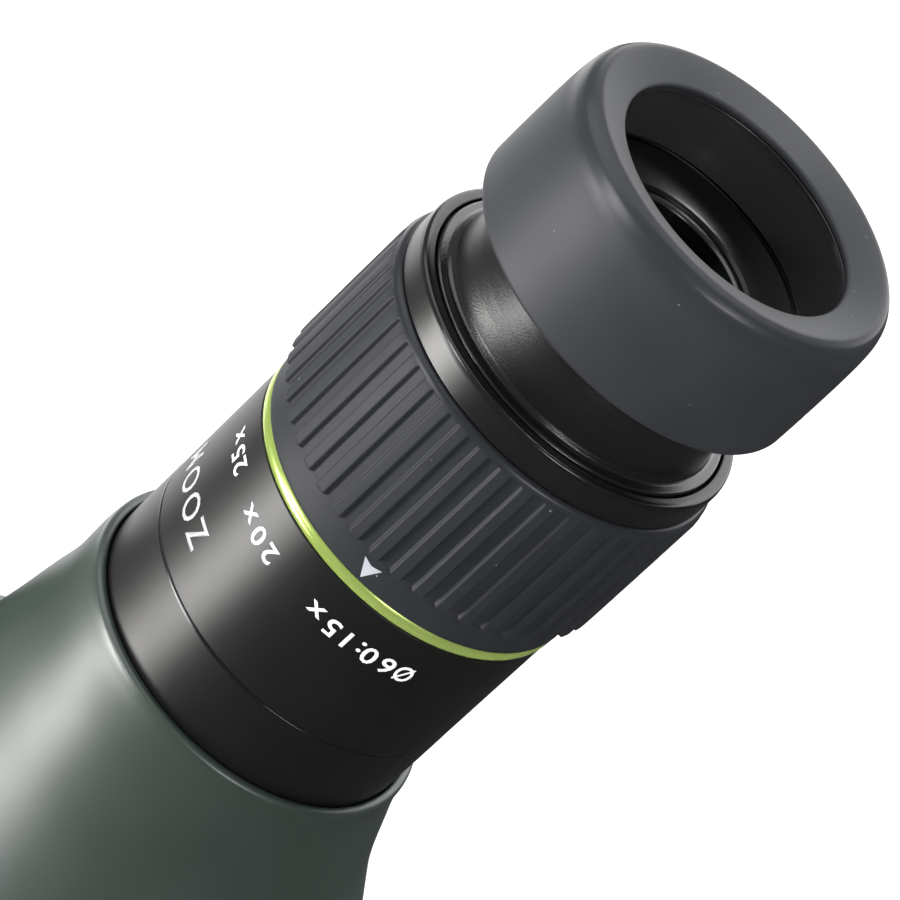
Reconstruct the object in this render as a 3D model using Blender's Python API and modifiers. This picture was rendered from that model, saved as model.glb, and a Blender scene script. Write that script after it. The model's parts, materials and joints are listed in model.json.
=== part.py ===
"""Angled spotting scope with a zoom eyepiece, a dual focus and a rotating tripod collar.

Frame: the origin is on the tripod thread's axis, at the foot's bottom face.
+Y points forward to the objective, +Z is up, and +X is the user's right.
All the lengths below are in millimetres; MM turns them into metres.
"""
import math

import bmesh
import bpy
from mathutils import Matrix, Vector

MM = 0.001

# ---------------------------------------------------------------- dimensions
TILT = 45.0            # eyepiece axis above the barrel axis, degrees
BARREL_Z = 58.0        # barrel axis above the foot's bottom face
BEND_Y = -78.0         # where the eyepiece axis meets the barrel axis
LIP_L = 46.0           # armour lip's distance from the bend, along the eyepiece axis
LIP_S = -89.65         # the lip's place, measured from the eyecup's opening plane
EYE_L = LIP_L - LIP_S  # eyecup opening plane's distance from the bend

GAP = 0.3              # clearance between touching pieces
CUP_R = 23.0           # eyecup's outer radius
CUP_TRAVEL = 7.0       # how far the eyecup goes down
BARREL_R = 22.8        # scale sleeve's radius
ARMOUR_R = 31.0        # rear armour's radius where it joins the barrel
TRACK_R = 29.3         # barrel's radius under the tripod collar
SHADE_R = 38.3         # sunshade's outer radius
SHADE_IN = 36.0        # sunshade's inner radius
SHADE_BACK = 133.5     # sunshade's rear end, from the bend
SHADE_FRONT = 216.0    # sunshade's front end, from the bend
KNOB_Z = 44.5          # focus knobs' axis above the barrel axis
CLAMP_Y = 70.0         # clamp's place along the barrel, from the bend

N_BIG = 28             # sides of a large turned piece
N_MID = 22
N_SMALL = 16

# ---------------------------------------------------------------- clean start
for ob in list(bpy.data.objects):
    bpy.data.objects.remove(ob, do_unlink=True)


def collection(name):
    c = bpy.data.collections.new(name)
    bpy.context.scene.collection.children.link(c)
    return c


PARTS = collection("spotting_scope")
CUTTERS = collection("cutters")

# ---------------------------------------------------------------- materials
PALETTE = {
    "rubber_grey": ((0.055, 0.060, 0.066), 0.62, 0.0),
    "armour_green": ((0.028, 0.044, 0.034), 0.60, 0.0),
    "black_satin": ((0.012, 0.012, 0.013), 0.38, 0.4),
    "black_gloss": ((0.008, 0.008, 0.009), 0.15, 0.0),
    "lime": ((0.45, 0.66, 0.12), 0.30, 0.6),
    "black_matt": ((0.010, 0.010, 0.010), 0.85, 0.0),
    "aluminium": ((0.60, 0.61, 0.62), 0.35, 1.0),
    "steel": ((0.50, 0.50, 0.50), 0.30, 1.0),
    "brass": ((0.65, 0.48, 0.20), 0.32, 1.0),
    "glass": ((0.80, 0.88, 0.90), 0.03, 0.0),
    "nylon": ((0.55, 0.55, 0.52), 0.55, 0.0),
}


def material(node, kind):
    rgb, rough, metal = PALETTE[kind]
    m = bpy.data.materials.new(node)
    m.use_nodes = True
    b = m.node_tree.nodes["Principled BSDF"]
    b.inputs["Base Color"].default_value = (*rgb, 1.0)
    b.inputs["Roughness"].default_value = rough
    b.inputs["Metallic"].default_value = metal
    if kind == "glass":
        b.inputs["Transmission Weight"].default_value = 0.9
    m.diffuse_color = (*rgb, 1.0)
    return m


# ---------------------------------------------------------------- placing
def empty(name, loc, rot=(0.0, 0.0, 0.0), parent=None):
    e = bpy.data.objects.new(name, None)
    e.location = Vector(loc) * MM
    e.rotation_euler = [math.radians(a) for a in rot]
    e.parent = parent
    PARTS.objects.link(e)
    return e


BEND = empty("bend", (0, BEND_Y, BARREL_Z))
BARREL_AXIS = empty("barrel_axis", (0, 0, 0), (-90, 0, 0), BEND)
TILT_AXIS = empty("eyepiece_axis", (0, 0, 0), (TILT, 0, 0), BEND)
EYE_AXIS = empty("eyecup_opening", (0, 0, EYE_L), (0, 0, 0), TILT_AXIS)
KNOB_AXIS = empty("focus_axis", (0, 0, KNOB_Z), (-90, 0, 0), BEND)
CLAMP_AXIS = empty("clamp_axis", (0, CLAMP_Y, 0), (0, 90, 0), BEND)


def node(name, mesh, kind, parent=BEND, loc=(0, 0, 0), rot=(0, 0, 0), smooth=True):
    ob = bpy.data.objects.new(name, mesh)
    ob.location = Vector(loc) * MM
    ob.rotation_euler = [math.radians(a) for a in rot]
    ob.parent = parent
    PARTS.objects.link(ob)
    mesh.materials.clear()
    mesh.materials.append(material(name, kind))
    if smooth:
        mesh.shade_smooth()
        mesh.set_sharp_from_angle(angle=math.radians(35))
    return ob


# ---------------------------------------------------------------- shapes
def turned(name, profile, kind, parent, sides=N_MID):
    """A profile of (radius, height) points, down its outer side, turned about local Z."""
    solid = abs(profile[0][0]) < 1e-9
    me = bpy.data.meshes.new(name)
    pts = [(r * MM, 0.0, a * MM) for r, a in profile]
    edges = [(i, i + 1) for i in range(len(pts) - 1)]
    if not solid:
        edges.append((len(pts) - 1, 0))
    me.from_pydata(pts, edges, [])
    ob = node(name, me, kind, parent, smooth=False)
    sc = ob.modifiers.new("turn", "SCREW")
    sc.axis = "Z"
    sc.angle = 2 * math.pi
    sc.steps = sides
    sc.render_steps = sides
    sc.use_merge_vertices = True
    sc.merge_threshold = 0.00002
    sc.use_smooth_shade = True
    return ob


def ring(name, r_in, r_out, low, high, kind, parent, sides=N_MID):
    return turned(name, [(r_out, high), (r_out, low), (r_in, low), (r_in, high)], kind, parent, sides)


def rod_mesh(name, r, low, high, sides=16):
    bm = bmesh.new()
    bmesh.ops.create_cone(bm, cap_ends=True, segments=sides, radius1=r * MM, radius2=r * MM,
                          depth=(high - low) * MM)
    bmesh.ops.translate(bm, verts=bm.verts, vec=(0, 0, (high + low) / 2 * MM))
    me = bpy.data.meshes.new(name)
    bm.to_mesh(me)
    bm.free()
    return me


def box_mesh(name, lo, hi):
    lo, hi = Vector(lo) * MM, Vector(hi) * MM
    bm = bmesh.new()
    bmesh.ops.create_cube(bm, size=1.0)
    for v in bm.verts:
        v.co = Vector((lo[i] + (v.co[i] + 0.5) * (hi[i] - lo[i]) for i in range(3)))
    me = bpy.data.meshes.new(name)
    bm.to_mesh(me)
    bm.free()
    return me


def bevel(ob, width, segments=2, angle=40):
    b = ob.modifiers.new("edges", "BEVEL")
    b.width = width * MM
    b.segments = segments
    b.limit_method = "ANGLE"
    b.angle_limit = math.radians(angle)
    return b


def cut(ob, tool_mesh, parent=BEND, loc=(0, 0, 0), rot=(0, 0, 0), how="DIFFERENCE"):
    t = bpy.data.objects.new("cut_" + tool_mesh.name, tool_mesh)
    t.location = Vector(loc) * MM
    t.rotation_euler = [math.radians(a) for a in rot]
    t.parent = parent
    t.hide_render = True
    t.display_type = "WIRE"
    CUTTERS.objects.link(t)
    m = ob.modifiers.new("cut", "BOOLEAN")
    m.operation = how
    m.object = t
    m.solver = "EXACT"
    return m


def outline(name, pts, thick, kind, parent=BEND, loc=(0, 0, 0), rot=(0, 0, 0)):
    """A flat outline as a filled 2D curve, extruded to its thickness."""
    cu = bpy.data.curves.new(name, "CURVE")
    cu.dimensions = "2D"
    cu.fill_mode = "BOTH"
    cu.extrude = thick / 2 * MM
    sp = cu.splines.new("POLY")
    sp.points.add(len(pts) - 1)
    for p, (x, y) in zip(sp.points, pts):
        p.co = (x * MM, y * MM, 0.0, 1.0)
    sp.use_cyclic_u = True
    tmp = bpy.data.objects.new(name + "_outline", cu)
    PARTS.objects.link(tmp)
    bpy.context.view_layer.update()
    me = bpy.data.meshes.new_from_object(tmp.evaluated_get(bpy.context.evaluated_depsgraph_get()))
    bpy.data.objects.remove(tmp, do_unlink=True)
    bm = bmesh.new()
    bm.from_mesh(me)
    bmesh.ops.remove_doubles(bm, verts=bm.verts, dist=1e-6)
    bmesh.ops.recalc_face_normals(bm, faces=bm.faces)
    bm.to_mesh(me)
    bm.free()
    me.name = name
    return node(name, me, kind, parent, loc, rot, smooth=False)


# ---------------------------------------------------------------- bent housing
S2 = math.sqrt(0.5)


def on_axis(s, side, r):
    """A (y, z) point from the bend: at s along the eyepiece axis, r to its top (+1) or rear (-1)."""
    L = EYE_L + s
    return (-L * S2 + side * r * S2, L * S2 + side * r * S2)


# top point, bottom point, half width, armour thickness; a fan of sections round the bend
FAN = [
    (*on_axis(LIP_S, 1, 23.9), *on_axis(LIP_S, -1, 23.9), 23.9, 0.7),
    (*on_axis(-90.9, 1, 24.5), *on_axis(-90.9, -1, 24.5), 24.5, 1.3),
    (*on_axis(-93.4, 1, 24.65), *on_axis(-93.4, -1, 24.95), 24.75, 1.45),
    (*on_axis(-99.0, 1, 24.65), *on_axis(-97.6, -1, 26.15), 25.7, 1.7),
    (*on_axis(-105.4, 1, 25.6), -42.56, 0.24, 26.6, 1.8),
    (2.9, 34.84, -39.88, -12.88, 27.8, 1.8),
    (9.5, 30.5, -33.5, -24.6, 28.9, 1.8),
    (15.5, 30.5, -21.0, -30.4, 29.8, 1.7),
    (22.0, 31.0, -4.0, -32.2, 30.5, 1.6),
    (32.0, 31.0, 16.0, -31.6, 30.9, 1.6),
    (44.0, ARMOUR_R, 38.0, -ARMOUR_R, ARMOUR_R, 1.6),
    (57.0, ARMOUR_R, 57.0, -ARMOUR_R, ARMOUR_R, 1.6),
]


def catmull(rows, t):
    n = len(rows)
    i = min(int(t), n - 2)
    u = t - i
    p = [rows[max(i - 1, 0)], rows[i], rows[i + 1], rows[min(i + 2, n - 1)]]
    return [0.5 * (2 * b + (c - a) * u + (2 * a - 5 * b + 4 * c - d) * u * u
                   + (3 * b - a - 3 * c + d) * u ** 3) for a, b, c, d in zip(*p)]


def fan_ring(t, depth, sides):
    """The section at t, moved inward by depth (a number, or a function of the armour thickness)."""
    ty, tz, by, bz, w, skin = catmull(FAN, t)
    inset = depth(skin)
    top, low = Vector((0, ty, tz)), Vector((0, by, bz))
    u = (top - low).normalized()
    top, low, w = top - u * inset, low + u * inset, w - inset
    mid, half = (top + low) / 2, (top - low) / 2
    pts = []
    for k in range(sides):
        a = 2 * math.pi * k / sides
        pts.append((mid + half * math.cos(a) + Vector((w * math.sin(a), 0, 0))) * MM)
    return pts


def lofted_tube(name, ts, outer, inner, kind, sides=28):
    """A bent tube: the outer skin and the inner skin, closed at both ends."""
    bm = bmesh.new()
    loops = [fan_ring(t, outer, sides) for t in ts] + [fan_ring(t, inner, sides) for t in reversed(ts)]
    rings = [[bm.verts.new(p) for p in loop] for loop in loops]
    for a, b in zip(rings, rings[1:] + rings[:1]):
        for k in range(sides):
            j = (k + 1) % sides
            bm.faces.new((a[k], a[j], b[j], b[k]))
    bmesh.ops.recalc_face_normals(bm, faces=bm.faces)
    me = bpy.data.meshes.new(name)
    bm.to_mesh(me)
    bm.free()
    return node(name, me, kind)


ts_armour = [0, 1, 2, 3, 3.5, 4, 4.5, 5, 5.5, 6, 6.5, 7, 8, 9, 11]
rear_armour = lofted_tube("rear_armour", ts_armour, lambda k: 0.0, lambda k: k, "armour_green")
ts_housing = [2, 3, 4, 5, 6, 7, 8, 9, 11]
rear_housing = lofted_tube("rear_housing", ts_housing, lambda k: k + 0.6, lambda k: k + 2.6, "black_matt", 20)
cut(rear_armour, rod_mesh("purge_hole", 3.6, -36, -27.5), BEND, (0, 40, 0))
turned("purge_screw", [(0, -29.75), (2.2, -29.75), (3.1, -29.95), (3.1, -30.9), (0, -30.9)],
       "steel", empty("purge_axis", (0, 40, 0), (0, 0, 0), BEND), N_SMALL)

# ---------------------------------------------------------------- eyecup
turned("eyecup_rubber", [(16.25, 0.05), (17.0, 0.5), (20.0, 1.62), (20.9, 1.62), (21.65, 1.2), (22.3, 0.3), (22.75, -1.8),
                         (22.95, -7.0), (CUP_R, -16.4), (22.1, -17.4), (20.3, -17.4), (20.3, -0.4), (16.2, -0.4)],
       "rubber_grey", EYE_AXIS, N_BIG)
turned("eyecup_core", [(16.25, -0.7), (20.0, -0.7), (20.0, -16.8), (19.35, -16.8), (19.35, -9.6), (16.95, -9.1),
                       (16.85, -2.2)],
       "black_gloss", EYE_AXIS, N_BIG)
ring("eyecup_guide_ring", 18.05, 19.05, -11.9, -9.95, "brass", EYE_AXIS)

# ---------------------------------------------------------------- eye lens and neck
turned("neck", [(16.55, -10.9), (16.55, -16.9), (17.3, -18.2), (18.1, -20.2), (18.7, -22.6), (19.1, -25.0),
                (19.7, -26.95), (21.15, -27.1), (21.15, -30.2), (14.7, -30.2), (14.7, -10.9)],
       "black_satin", EYE_AXIS, N_BIG)
turned("eye_lens_cell", [(11.9, -10.75), (16.5, -9.3), (16.5, -10.6), (14.4, -10.6), (14.4, -22.0), (12.4, -22.0),
                         (12.4, -17.6), (10.6, -17.6), (10.6, -12.15), (11.1, -12.15), (11.1, -11.3)],
       "black_gloss", EYE_AXIS)
turned("eye_lens", [(0, -12.7), (5.5, -12.9), (10.3, -13.6), (10.3, -15.8), (6.0, -17.0), (0, -17.4)], "glass",
       EYE_AXIS)
ring("eye_lens_retainer", 9.8, 10.8, -11.85, -11.35, "black_gloss", EYE_AXIS)

# ---------------------------------------------------------------- zoom ring
ring("zoom_cap_ring", 21.45, 23.1, -31.1, -27.25, "black_satin", EYE_AXIS, N_BIG)
ring("zoom_ring", 21.0, 22.5, -57.0, -31.4, "aluminium", EYE_AXIS, N_BIG)
turned("zoom_grip", [(23.3, -31.4), (24.0, -33.0), (24.15, -52.5), (23.5, -53.2), (23.5, -57.0), (22.8, -57.0),
                     (22.8, -31.4)],
       "rubber_grey", EYE_AXIS, N_BIG)
ring("accent_ring", 20.95, 22.85, -58.55, -57.3, "lime", EYE_AXIS, N_BIG)
turned("scale_sleeve", [(20.6, -42.0), (20.6, -58.85), (BARREL_R, -58.85), (BARREL_R, -78.95), (18.9, -78.95),
                        (18.9, -59.2), (19.3, -58.85), (19.3, -42.0)],
       "black_satin", EYE_AXIS, N_BIG)
ring("cam_sleeve", 17.0, 18.3, -76.0, -31.0, "brass", EYE_AXIS)
node("zoom_drive_screw", rod_mesh("zoom_drive_screw", 1.4, 18.65, 20.65, 12), "steel", EYE_AXIS, (0, 0, -37.0),
     (-90, 0, 0))
turned("lock_ring", [(22.92, -79.25), (22.92, -92.9), (20.0, -92.9), (20.0, -84.3), (17.0, -84.3), (17.0, -79.25)],
       "black_satin", EYE_AXIS, N_BIG)
turned("inner_barrel", [(16.6, -30.55), (16.6, -97.0), (15.2, -97.0), (15.2, -30.55)], "black_matt", EYE_AXIS)
turned("eyepiece_mount", [(19.6, -84.7), (19.6, -93.2), (20.1, -93.2), (20.1, -100.0), (16.9, -100.0), (16.9, -84.7)],
       "aluminium", EYE_AXIS)
ring("zoom_cell_front", 11.6, 14.8, -42.0, -34.0, "black_matt", EYE_AXIS, N_SMALL)
turned("zoom_lens_front", [(0, -35.6), (11.2, -36.8), (11.2, -39.2), (0, -40.4)], "glass", EYE_AXIS, N_SMALL)
ring("zoom_cell_rear", 10.6, 14.8, -71.0, -63.5, "black_matt", EYE_AXIS, N_SMALL)
turned("zoom_lens_rear", [(0, -66.4), (10.2, -65.2), (10.2, -69.2), (0, -68.0)], "glass", EYE_AXIS, N_SMALL)
ring("field_stop", 9.5, 14.8, -82.5, -80.5, "black_matt", EYE_AXIS, N_SMALL)
turned("field_lens", [(0, -86.0), (14.6, -87.4), (14.6, -90.4), (0, -91.2)], "glass", EYE_AXIS, N_SMALL)

# ---------------------------------------------------------------- barrel and objective
turned("main_barrel", [(31.6, 127.0), (30.2, 98.0), (TRACK_R, 88.0), (TRACK_R, 57.4), (26.3, 57.4), (26.3, 46.0),
                       (24.8, 46.0), (24.8, 84.0), (28.6, 110.0), (29.8, 127.0)],
       "black_satin", BARREL_AXIS, N_BIG)
turned("barrel_armour", [(37.4, 132.0), (38.2, 131.2), (38.2, 126.5), (36.6, 121.5), (33.6, 104.0), (32.6, 85.6),
                         (32.0, 84.9), (29.75, 84.9), (29.75, 88.2), (30.6, 98.0), (32.0, 127.2), (35.7, 127.2),
                         (35.7, 132.0)],
       "armour_green", BARREL_AXIS, N_BIG)
turned("objective_tube", [(35.3, 200.0), (35.3, 127.6), (30.2, 127.6), (30.2, 130.4), (33.3, 130.4), (33.3, 200.0)],
       "black_satin", BARREL_AXIS, N_BIG)
turned("objective_cell", [(32.9, 198.0), (32.9, 172.0), (28.0, 172.0), (28.0, 174.0), (31.0, 174.0), (31.0, 198.0)],
       "black_matt", BARREL_AXIS, N_BIG)
turned("flint_lens", [(0, 181.0), (30.4, 184.3), (30.4, 175.0), (0, 176.5)], "glass", BARREL_AXIS, N_BIG)
turned("crown_lens", [(0, 194.8), (15.5, 193.9), (30.4, 191.2), (30.4, 188.0), (0, 184.0)], "glass", BARREL_AXIS,
       N_BIG)
ring("objective_o_ring", 29.8, 30.7, 195.0, 196.2, "black_matt", BARREL_AXIS, N_BIG)
turned("objective_retainer", [(33.0, 201.8), (33.0, 198.4), (30.6, 198.4), (30.6, 196.6), (29.6, 196.6), (31.4, 201.8)],
       "black_satin", BARREL_AXIS, N_BIG)
ring("front_baffle", 25.5, 32.9, 148.0, 150.0, "black_matt", BARREL_AXIS, N_MID)
turned("sunshade_tube", [(SHADE_R, SHADE_FRONT - 8.3), (SHADE_R, SHADE_BACK), (SHADE_IN, SHADE_BACK),
                         (SHADE_IN, SHADE_FRONT - 1.0), (37.3, SHADE_FRONT - 1.0), (37.3, SHADE_FRONT - 8.3)],
       "armour_green", BARREL_AXIS, N_BIG)
turned("sunshade_bumper", [(38.0, SHADE_FRONT + 1.0), (38.9, SHADE_FRONT), (38.9, SHADE_FRONT - 7.9),
                           (37.6, SHADE_FRONT - 7.9), (37.6, SHADE_FRONT - 0.7), (36.2, SHADE_FRONT - 0.7),
                           (36.2, SHADE_FRONT + 1.0)],
       "rubber_grey", BARREL_AXIS, N_BIG)

# ---------------------------------------------------------------- prism
PRISM = [(14, -14), (14, 14), (-2.8, 22.6), (-22.6, 2.8), (-15, -19)]
outline("roof_prism", PRISM, 26, "glass", BEND, (0, 0, 0), (90, 0, 90))
PLATE = [(15.6, -15.5), (15.6, 15), (-2.6, 23.8), (-23.8, 2.6), (-16, -20.5)]
for side, x in (("left", -14.2), ("right", 14.2)):
    outline("prism_plate_" + side, PLATE, 1.8, "aluminium", BEND, (x, 0, 0), (90, 0, 90))
ring("prism_shelf", 13.0, 24.0, 16.2, 18.6, "aluminium", BARREL_AXIS, N_MID)

# ---------------------------------------------------------------- focus
SADDLE_BACK, SADDLE_FRONT = 14.0, 56.0
saddle = node("focus_saddle", box_mesh("focus_saddle", (-9, SADDLE_BACK, 20), (9, SADDLE_FRONT, KNOB_Z)),
              "armour_green")
cut(saddle, rod_mesh("posts_round", 9, SADDLE_BACK + 0.4, SADDLE_FRONT, 24), KNOB_AXIS, how="UNION")
cut(saddle, rod_mesh("knob_space", 12.1, SADDLE_BACK + 4.0, SADDLE_FRONT - 4.0, 28), KNOB_AXIS)
cut(saddle, rod_mesh("saddle_seat", ARMOUR_R + 0.32, -60, 80, 56), BARREL_AXIS)
cut(saddle, rod_mesh("shaft_bore", 2.4, 0, 80, 16), KNOB_AXIS)
node("focus_shaft", rod_mesh("focus_shaft", 2.0, SADDLE_BACK + 0.6, SADDLE_FRONT - 0.6, 16), "steel", KNOB_AXIS)
ring("coarse_knob", 2.35, 11.5, 31.0, 51.6, "rubber_grey", KNOB_AXIS, N_BIG)
ring("fine_knob", 2.35, 9.4, 18.5, 30.4, "rubber_grey", KNOB_AXIS, N_MID)
node("focus_rod", rod_mesh("focus_rod", 1.3, 19.0, 92.0, 12), "steel", BARREL_AXIS, (0, -21.8, 0))
cell = ring("focus_cell", 16.6, 23.6, 64.0, 72.0, "black_matt", BARREL_AXIS, N_MID)
cut(cell, rod_mesh("rod_bore", 1.6, 50, 90, 12), BARREL_AXIS, (0, -21.8, 0))
turned("focus_lens", [(0, 69.4), (16.2, 70.6), (16.2, 65.4), (0, 66.8)], "glass", BARREL_AXIS, N_MID)

# ---------------------------------------------------------------- tripod collar
collar = ring("collar_ring", 30.5, 36.5, 59.2, 80.8, "black_satin", BARREL_AXIS, N_BIG)
cut(collar, box_mesh("collar_pad", (-12, 60.2, -39.2), (12, 79.8, -33.0)), BEND, how="UNION")
cut(collar, rod_mesh("clamp_boss", 7.6, 33.5, 41.0, 20), CLAMP_AXIS, how="UNION")
cut(collar, rod_mesh("clamp_bore", 4.4, 25.0, 50.0, 16), CLAMP_AXIS)
SCREW_Y = (65.0, 75.0)
for y in SCREW_Y:
    cut(collar, rod_mesh("counterbore", 3.5, -33.6, -25.0, 16), BEND, (0, y, 0))
    cut(collar, rod_mesh("screw_way", 2.2, -45.0, -25.0, 12), BEND, (0, y, 0))
liner = ring("collar_liner", 29.6, 30.2, 59.6, 80.4, "nylon", BARREL_AXIS, N_BIG)
cut(liner, rod_mesh("liner_hole", 4.6, 25.0, 35.0, 16), CLAMP_AXIS)

foot = node("foot_block", box_mesh("foot_block", (-17, 58.6, -BARREL_Z), (17, 102.5, -48.5)), "black_satin",
            smooth=False)
bevel(foot, 2.0, 2)
cut(foot, box_mesh("foot_post", (-12, 60.2, -50.0), (12, 79.8, -39.5)), BEND, how="UNION")
for y in SCREW_Y:
    cut(foot, rod_mesh("foot_way", 2.2, -48.0, -30.0, 12), BEND, (0, y, 0))
cut(foot, rod_mesh("insert_hole", 5.3, -60.0, -49.5, 20), BEND, (0, 78.0, 0))
cut(foot, rod_mesh("pin_hole", 2.3, -60.0, -53.5, 12), BEND, (0, 91.0, 0))
turned("thread_insert", [(5.0, -49.9), (5.0, -58.0), (3.17, -58.0), (3.17, -49.9)], "brass",
       empty("thread_axis", (0, 78.0, 0), (0, 0, 0), BEND), N_SMALL)
for label, y in zip(("rear", "front"), SCREW_Y):
    turned("foot_screw_" + label, [(0, -30.6), (3.2, -30.6), (3.2, -33.3), (1.9, -33.3), (1.9, -47.5), (0, -47.5)],
           "steel", empty("foot_screw_axis_" + label, (0, y, 0), (0, 0, 0), BEND), 12)
turned("clamp_spindle", [(0, 44.0), (3.0, 44.0), (3.0, 33.0), (4.1, 32.6), (4.1, 29.75), (0, 29.75)], "steel",
       CLAMP_AXIS, 16)
turned("clamp_knob", [(0, 58.0), (7.6, 58.0), (9.0, 56.8), (9.0, 47.0), (7.6, 44.6), (5.0, 44.6), (5.0, 41.9),
                      (3.4, 41.9), (3.4, 44.4), (0, 44.4)],
       "rubber_grey", CLAMP_AXIS, N_MID)

# each moving node's origin already lies on its joint's axis, through its parent empty
bpy.context.view_layer.update()
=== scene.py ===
import json
import math

import bmesh
import bpy
from mathutils import Matrix, Vector


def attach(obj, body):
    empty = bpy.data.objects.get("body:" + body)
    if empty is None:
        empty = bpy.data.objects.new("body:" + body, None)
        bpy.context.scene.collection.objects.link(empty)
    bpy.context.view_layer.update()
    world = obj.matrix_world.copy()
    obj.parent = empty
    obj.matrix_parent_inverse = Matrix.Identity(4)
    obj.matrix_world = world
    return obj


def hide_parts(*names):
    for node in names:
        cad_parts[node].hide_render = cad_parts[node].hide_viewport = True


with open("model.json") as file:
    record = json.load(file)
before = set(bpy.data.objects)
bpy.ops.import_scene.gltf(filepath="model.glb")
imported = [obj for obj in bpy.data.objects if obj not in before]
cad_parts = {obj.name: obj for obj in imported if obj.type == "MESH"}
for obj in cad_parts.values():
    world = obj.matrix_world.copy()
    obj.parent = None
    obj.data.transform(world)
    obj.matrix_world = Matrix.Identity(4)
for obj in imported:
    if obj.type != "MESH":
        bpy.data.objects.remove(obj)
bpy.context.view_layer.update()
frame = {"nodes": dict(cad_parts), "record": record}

NODES = frame["nodes"]
MM = 0.001
S2 = math.sqrt(0.5)

# ------------------------------------------------------------------ frames of the object
BEND = Vector((0.0, -0.078, 0.058))          # where the eyepiece axis meets the barrel axis
D = Vector((0.0, -S2, S2))                   # eyepiece axis, toward the eye
T = Vector((0.0, S2, S2))                    # twelve o'clock on the eyepiece
X = Vector((1.0, 0.0, 0.0))
LIP_S = -89.65
EYE_L = 46.0 - LIP_S
OPEN = BEND + D * (EYE_L * MM)               # centre of the eyecup's opening plane
KNOB_Z = 44.5


class Axis:
    """Maps (r, phi, a) in mm and radians about an axis to the row frame."""

    def __init__(self, base, along, top, side):
        self.base, self.along, self.top, self.side = base, along, top, side

    def at(self, r, phi, a):
        return self.base + (self.along * a + self.top * (r * math.cos(phi)) + self.side * (r * math.sin(phi))) * MM


EYE = Axis(OPEN, D, T, X)
BARREL = Axis(BEND, Vector((0, 1, 0)), Vector((0, 0, 1)), X)
KNOB = Axis(BEND + Vector((0, 0, KNOB_Z * MM)), Vector((0, 1, 0)), Vector((0, 0, 1)), X)
CLAMP = Axis(BEND + Vector((0, 70 * MM, 0)), X, Vector((0, 0, 1)), Vector((0, -1, 0)))


def down(x, y, z=0.0):
    """An upright axis through (x, y), with heights from the barrel axis."""
    return Axis(BEND + Vector((x, y, z)) * MM, Vector((0, 0, 1)), Vector((0, 1, 0)), X)


# ------------------------------------------------------------------ materials
def shader(name):
    m = bpy.data.materials.new(name)
    m.use_nodes = True
    nt = m.node_tree
    b = nt.nodes["Principled BSDF"]
    return m, nt, b


def N(nt, kind, **props):
    n = nt.nodes.new(kind)
    for k, v in props.items():
        if k in n.inputs.keys() if hasattr(n.inputs, "keys") else False:
            n.inputs[k].default_value = v
        else:
            setattr(n, k, v)
    return n


def noise(nt, coord, scale, detail=2.0, rough=0.5):
    n = nt.nodes.new("ShaderNodeTexNoise")
    n.inputs["Scale"].default_value = scale
    n.inputs["Detail"].default_value = detail
    n.inputs["Roughness"].default_value = rough
    nt.links.new(coord, n.inputs["Vector"])
    return n.outputs["Fac"]


def span(nt, value, lo, hi, to_lo, to_hi):
    n = nt.nodes.new("ShaderNodeMapRange")
    n.inputs["From Min"].default_value = lo
    n.inputs["From Max"].default_value = hi
    n.inputs["To Min"].default_value = to_lo
    n.inputs["To Max"].default_value = to_hi
    nt.links.new(value, n.inputs["Value"])
    return n.outputs["Result"]


def blend_rgb(nt, fac, a, b):
    n = nt.nodes.new("ShaderNodeMix")
    n.data_type = "RGBA"
    if isinstance(fac, float):
        n.inputs[0].default_value = fac
    else:
        nt.links.new(fac, n.inputs[0])
    for sock, v in ((n.inputs[6], a), (n.inputs[7], b)):
        if isinstance(v, tuple):
            sock.default_value = (*v, 1.0)
        else:
            nt.links.new(v, sock)
    return n.outputs[2]


def math_node(nt, op, a, b=None):
    n = nt.nodes.new("ShaderNodeMath")
    n.operation = op
    for sock, v in ((n.inputs[0], a), (n.inputs[1], b)):
        if v is None:
            continue
        if isinstance(v, (int, float)):
            sock.default_value = v
        else:
            nt.links.new(v, sock)
    return n.outputs[0]


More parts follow.
